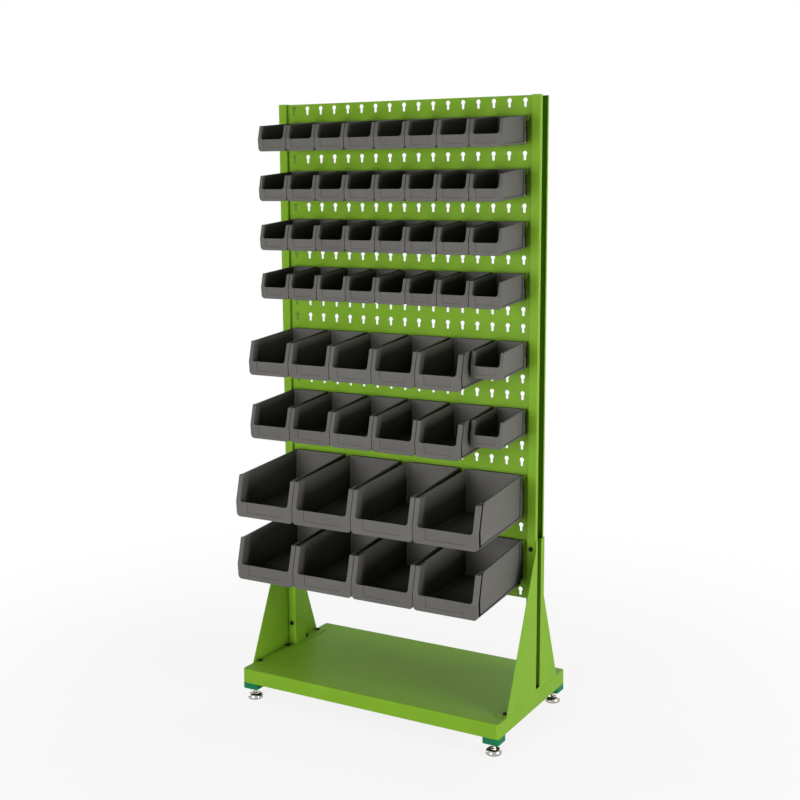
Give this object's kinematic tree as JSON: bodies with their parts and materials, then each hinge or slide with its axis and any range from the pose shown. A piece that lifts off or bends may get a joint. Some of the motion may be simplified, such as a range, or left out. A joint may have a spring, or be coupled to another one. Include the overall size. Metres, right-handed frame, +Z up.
{
  "type": "tool stand",
  "caption": "Free-standing green perforated-panel stand on a base pan with levelling feet, with rows of open grey plastic bins in several sizes hung on rails",
  "frame": {"origin": "On the floor, under the middle of the stand's overall box", "axes": "X across the panel, +X to the right seen from the bins' side; Y into the depth, +Y to the rear; Z up"},
  "size_m": [0.91, 0.5532, 1.89],
  "materials": {
    "green_paint": "satin powder coat",
    "grey_plastic": "moulded, matte",
    "black_steel": "black oxide",
    "zinc_steel": "zinc plated",
    "rivet_metal": "plain",
    "teal_paint": "satin paint",
    "chrome_foot": "polished"
  },
  "bodies": {
    "stand": {"base_pan": "green_paint", "side_plate_left": "green_paint", "side_plate_right": "green_paint", "post_left": "green_paint", "post_right": "green_paint", "perforated_panel": "green_paint", "panel_rivets": "rivet_metal", "frame_bolts": "black_steel", "hex_nuts": "zinc_steel", "corner_blocks": "teal_paint", "hanger_rails": "green_paint"},
    "levelling_foot_front_left_body": {"levelling_foot_front_left": "chrome_foot"},
    "levelling_foot_front_right_body": {"levelling_foot_front_right": "chrome_foot"},
    "levelling_foot_rear_left_body": {"levelling_foot_rear_left": "chrome_foot"},
    "levelling_foot_rear_right_body": {"levelling_foot_rear_right": "chrome_foot"},
    "small_bins_row1_body": {"small_bins_row1": "grey_plastic"},
    "small_bin_row2_1_body": {"small_bin_row2_1": "grey_plastic"},
    "small_bin_row2_2_body": {"small_bin_row2_2": "grey_plastic"},
    "small_bin_row2_3_body": {"small_bin_row2_3": "grey_plastic"},
    "small_bin_row2_4_body": {"small_bin_row2_4": "grey_plastic"},
    "small_bin_row2_5_body": {"small_bin_row2_5": "grey_plastic"},
    "small_bin_row2_6_body": {"small_bin_row2_6": "grey_plastic"},
    "small_bin_row2_7_body": {"small_bin_row2_7": "grey_plastic"},
    "small_bin_row2_8_body": {"small_bin_row2_8": "grey_plastic"},
    "small_bin_row3_1_body": {"small_bin_row3_1": "grey_plastic"},
    "small_bin_row3_2_body": {"small_bin_row3_2": "grey_plastic"},
    "small_bin_row3_3_body": {"small_bin_row3_3": "grey_plastic"},
    "small_bin_row3_4_body": {"small_bin_row3_4": "grey_plastic"},
    "small_bin_row3_5_body": {"small_bin_row3_5": "grey_plastic"},
    "small_bin_row3_6_body": {"small_bin_row3_6": "grey_plastic"},
    "small_bin_row3_7_body": {"small_bin_row3_7": "grey_plastic"},
    "small_bin_row3_8_body": {"small_bin_row3_8": "grey_plastic"},
    "small_bin_row4_1_body": {"small_bin_row4_1": "grey_plastic"},
    "small_bin_row4_2_body": {"small_bin_row4_2": "grey_plastic"},
    "small_bin_row4_3_body": {"small_bin_row4_3": "grey_plastic"},
    "small_bin_row4_4_body": {"small_bin_row4_4": "grey_plastic"},
    "small_bin_row4_5_body": {"small_bin_row4_5": "grey_plastic"},
    "small_bin_row4_6_body": {"small_bin_row4_6": "grey_plastic"},
    "small_bin_row4_7_body": {"small_bin_row4_7": "grey_plastic"},
    "small_bin_row4_8_body": {"small_bin_row4_8": "grey_plastic"},
    "medium_bin_row5_1_body": {"medium_bin_row5_1": "grey_plastic"},
    "medium_bin_row5_2_body": {"medium_bin_row5_2": "grey_plastic"},
    "medium_bin_row5_3_body": {"medium_bin_row5_3": "grey_plastic"},
    "medium_bin_row5_4_body": {"medium_bin_row5_4": "grey_plastic"},
    "medium_bin_row5_5_body": {"medium_bin_row5_5": "grey_plastic"},
    "small_bin_row5_6_body": {"small_bin_row5_6": "grey_plastic"},
    "medium_bin_row6_1_body": {"medium_bin_row6_1": "grey_plastic"},
    "medium_bin_row6_2_body": {"medium_bin_row6_2": "grey_plastic"},
    "medium_bin_row6_3_body": {"medium_bin_row6_3": "grey_plastic"},
    "medium_bin_row6_4_body": {"medium_bin_row6_4": "grey_plastic"},
    "medium_bin_row6_5_body": {"medium_bin_row6_5": "grey_plastic"},
    "small_bin_row6_6_body": {"small_bin_row6_6": "grey_plastic"},
    "large_bin_row7_1_body": {"large_bin_row7_1": "grey_plastic"},
    "large_bin_row7_2_body": {"large_bin_row7_2": "grey_plastic"},
    "large_bin_row7_3_body": {"large_bin_row7_3": "grey_plastic"},
    "large_bin_row7_4_body": {"large_bin_row7_4": "grey_plastic"},
    "large_bin_row8_1_body": {"large_bin_row8_1": "grey_plastic"},
    "large_bin_row8_2_body": {"large_bin_row8_2": "grey_plastic"},
    "large_bin_row8_3_body": {"large_bin_row8_3": "grey_plastic"},
    "large_bin_row8_4_body": {"large_bin_row8_4": "grey_plastic"}
  },
  "joints": [
    {"name": "levelling_foot_front_left_turn", "type": "hinge", "parent": "stand", "child": "levelling_foot_front_left_body", "pos_m": [-0.427, -0.18536, 0.02], "axis": [0, 0, 1], "continuous": true},
    {"name": "levelling_foot_front_right_turn", "type": "hinge", "parent": "stand", "child": "levelling_foot_front_right_body", "pos_m": [0.427, -0.18536, 0.02], "axis": [0, 0, 1], "continuous": true},
    {"name": "levelling_foot_rear_left_turn", "type": "hinge", "parent": "stand", "child": "levelling_foot_rear_left_body", "pos_m": [-0.427, 0.24864, 0.02], "axis": [0, 0, 1], "continuous": true},
    {"name": "levelling_foot_rear_right_turn", "type": "hinge", "parent": "stand", "child": "levelling_foot_rear_right_body", "pos_m": [0.427, 0.24864, 0.02], "axis": [0, 0, 1], "continuous": true},
    {"name": "small_bins_row1_lift", "type": "slide", "parent": "stand", "child": "small_bins_row1_body", "axis": [0, 0, 1], "range_m": [0, 0.012]},
    {"name": "small_bin_row2_1_lift", "type": "slide", "parent": "stand", "child": "small_bin_row2_1_body", "axis": [0, 0, 1], "range_m": [0, 0.012]},
    {"name": "small_bin_row2_2_lift", "type": "slide", "parent": "stand", "child": "small_bin_row2_2_body", "axis": [0, 0, 1], "range_m": [0, 0.012]},
    {"name": "small_bin_row2_3_lift", "type": "slide", "parent": "stand", "child": "small_bin_row2_3_body", "axis": [0, 0, 1], "range_m": [0, 0.012]},
    {"name": "small_bin_row2_4_lift", "type": "slide", "parent": "stand", "child": "small_bin_row2_4_body", "axis": [0, 0, 1], "range_m": [0, 0.012]},
    {"name": "small_bin_row2_5_lift", "type": "slide", "parent": "stand", "child": "small_bin_row2_5_body", "axis": [0, 0, 1], "range_m": [0, 0.012]},
    {"name": "small_bin_row2_6_lift", "type": "slide", "parent": "stand", "child": "small_bin_row2_6_body", "axis": [0, 0, 1], "range_m": [0, 0.012]},
    {"name": "small_bin_row2_7_lift", "type": "slide", "parent": "stand", "child": "small_bin_row2_7_body", "axis": [0, 0, 1], "range_m": [0, 0.012]},
    {"name": "small_bin_row2_8_lift", "type": "slide", "parent": "stand", "child": "small_bin_row2_8_body", "axis": [0, 0, 1], "range_m": [0, 0.012]},
    {"name": "small_bin_row3_1_lift", "type": "slide", "parent": "stand", "child": "small_bin_row3_1_body", "axis": [0, 0, 1], "range_m": [0, 0.012]},
    {"name": "small_bin_row3_2_lift", "type": "slide", "parent": "stand", "child": "small_bin_row3_2_body", "axis": [0, 0, 1], "range_m": [0, 0.012]},
    {"name": "small_bin_row3_3_lift", "type": "slide", "parent": "stand", "child": "small_bin_row3_3_body", "axis": [0, 0, 1], "range_m": [0, 0.012]},
    {"name": "small_bin_row3_4_lift", "type": "slide", "parent": "stand", "child": "small_bin_row3_4_body", "axis": [0, 0, 1], "range_m": [0, 0.012]},
    {"name": "small_bin_row3_5_lift", "type": "slide", "parent": "stand", "child": "small_bin_row3_5_body", "axis": [0, 0, 1], "range_m": [0, 0.012]},
    {"name": "small_bin_row3_6_lift", "type": "slide", "parent": "stand", "child": "small_bin_row3_6_body", "axis": [0, 0, 1], "range_m": [0, 0.012]},
    {"name": "small_bin_row3_7_lift", "type": "slide", "parent": "stand", "child": "small_bin_row3_7_body", "axis": [0, 0, 1], "range_m": [0, 0.012]},
    {"name": "small_bin_row3_8_lift", "type": "slide", "parent": "stand", "child": "small_bin_row3_8_body", "axis": [0, 0, 1], "range_m": [0, 0.012]},
    {"name": "small_bin_row4_1_lift", "type": "slide", "parent": "stand", "child": "small_bin_row4_1_body", "axis": [0, 0, 1], "range_m": [0, 0.012]},
    {"name": "small_bin_row4_2_lift", "type": "slide", "parent": "stand", "child": "small_bin_row4_2_body", "axis": [0, 0, 1], "range_m": [0, 0.012]},
    {"name": "small_bin_row4_3_lift", "type": "slide", "parent": "stand", "child": "small_bin_row4_3_body", "axis": [0, 0, 1], "range_m": [0, 0.012]},
    {"name": "small_bin_row4_4_lift", "type": "slide", "parent": "stand", "child": "small_bin_row4_4_body", "axis": [0, 0, 1], "range_m": [0, 0.012]},
    {"name": "small_bin_row4_5_lift", "type": "slide", "parent": "stand", "child": "small_bin_row4_5_body", "axis": [0, 0, 1], "range_m": [0, 0.012]},
    {"name": "small_bin_row4_6_lift", "type": "slide", "parent": "stand", "child": "small_bin_row4_6_body", "axis": [0, 0, 1], "range_m": [0, 0.012]},
    {"name": "small_bin_row4_7_lift", "type": "slide", "parent": "stand", "child": "small_bin_row4_7_body", "axis": [0, 0, 1], "range_m": [0, 0.012]},
    {"name": "small_bin_row4_8_lift", "type": "slide", "parent": "stand", "child": "small_bin_row4_8_body", "axis": [0, 0, 1], "range_m": [0, 0.012]},
    {"name": "medium_bin_row5_1_lift", "type": "slide", "parent": "stand", "child": "medium_bin_row5_1_body", "axis": [0, 0, 1], "range_m": [0, 0.012]},
    {"name": "medium_bin_row5_2_lift", "type": "slide", "parent": "stand", "child": "medium_bin_row5_2_body", "axis": [0, 0, 1], "range_m": [0, 0.012]},
    {"name": "medium_bin_row5_3_lift", "type": "slide", "parent": "stand", "child": "medium_bin_row5_3_body", "axis": [0, 0, 1], "range_m": [0, 0.012]},
    {"name": "medium_bin_row5_4_lift", "type": "slide", "parent": "stand", "child": "medium_bin_row5_4_body", "axis": [0, 0, 1], "range_m": [0, 0.012]},
    {"name": "medium_bin_row5_5_lift", "type": "slide", "parent": "stand", "child": "medium_bin_row5_5_body", "axis": [0, 0, 1], "range_m": [0, 0.012]},
    {"name": "small_bin_row5_6_lift", "type": "slide", "parent": "stand", "child": "small_bin_row5_6_body", "axis": [0, 0, 1], "range_m": [0, 0.012]},
    {"name": "medium_bin_row6_1_lift", "type": "slide", "parent": "stand", "child": "medium_bin_row6_1_body", "axis": [0, 0, 1], "range_m": [0, 0.012]},
    {"name": "medium_bin_row6_2_lift", "type": "slide", "parent": "stand", "child": "medium_bin_row6_2_body", "axis": [0, 0, 1], "range_m": [0, 0.012]},
    {"name": "medium_bin_row6_3_lift", "type": "slide", "parent": "stand", "child": "medium_bin_row6_3_body", "axis": [0, 0, 1], "range_m": [0, 0.012]},
    {"name": "medium_bin_row6_4_lift", "type": "slide", "parent": "stand", "child": "medium_bin_row6_4_body", "axis": [0, 0, 1], "range_m": [0, 0.012]},
    {"name": "medium_bin_row6_5_lift", "type": "slide", "parent": "stand", "child": "medium_bin_row6_5_body", "axis": [0, 0, 1], "range_m": [0, 0.012]},
    {"name": "small_bin_row6_6_lift", "type": "slide", "parent": "stand", "child": "small_bin_row6_6_body", "axis": [0, 0, 1], "range_m": [0, 0.012]},
    {"name": "large_bin_row7_1_lift", "type": "slide", "parent": "stand", "child": "large_bin_row7_1_body", "axis": [0, 0, 1], "range_m": [0, 0.012]},
    {"name": "large_bin_row7_2_lift", "type": "slide", "parent": "stand", "child": "large_bin_row7_2_body", "axis": [0, 0, 1], "range_m": [0, 0.012]},
    {"name": "large_bin_row7_3_lift", "type": "slide", "parent": "stand", "child": "large_bin_row7_3_body", "axis": [0, 0, 1], "range_m": [0, 0.012]},
    {"name": "large_bin_row7_4_lift", "type": "slide", "parent": "stand", "child": "large_bin_row7_4_body", "axis": [0, 0, 1], "range_m": [0, 0.012]},
    {"name": "large_bin_row8_1_lift", "type": "slide", "parent": "stand", "child": "large_bin_row8_1_body", "axis": [0, 0, 1], "range_m": [0, 0.012]},
    {"name": "large_bin_row8_2_lift", "type": "slide", "parent": "stand", "child": "large_bin_row8_2_body", "axis": [0, 0, 1], "range_m": [0, 0.012]},
    {"name": "large_bin_row8_3_lift", "type": "slide", "parent": "stand", "child": "large_bin_row8_3_body", "axis": [0, 0, 1], "range_m": [0, 0.012]},
    {"name": "large_bin_row8_4_lift", "type": "slide", "parent": "stand", "child": "large_bin_row8_4_body", "axis": [0, 0, 1], "range_m": [0, 0.012]}
  ]
}
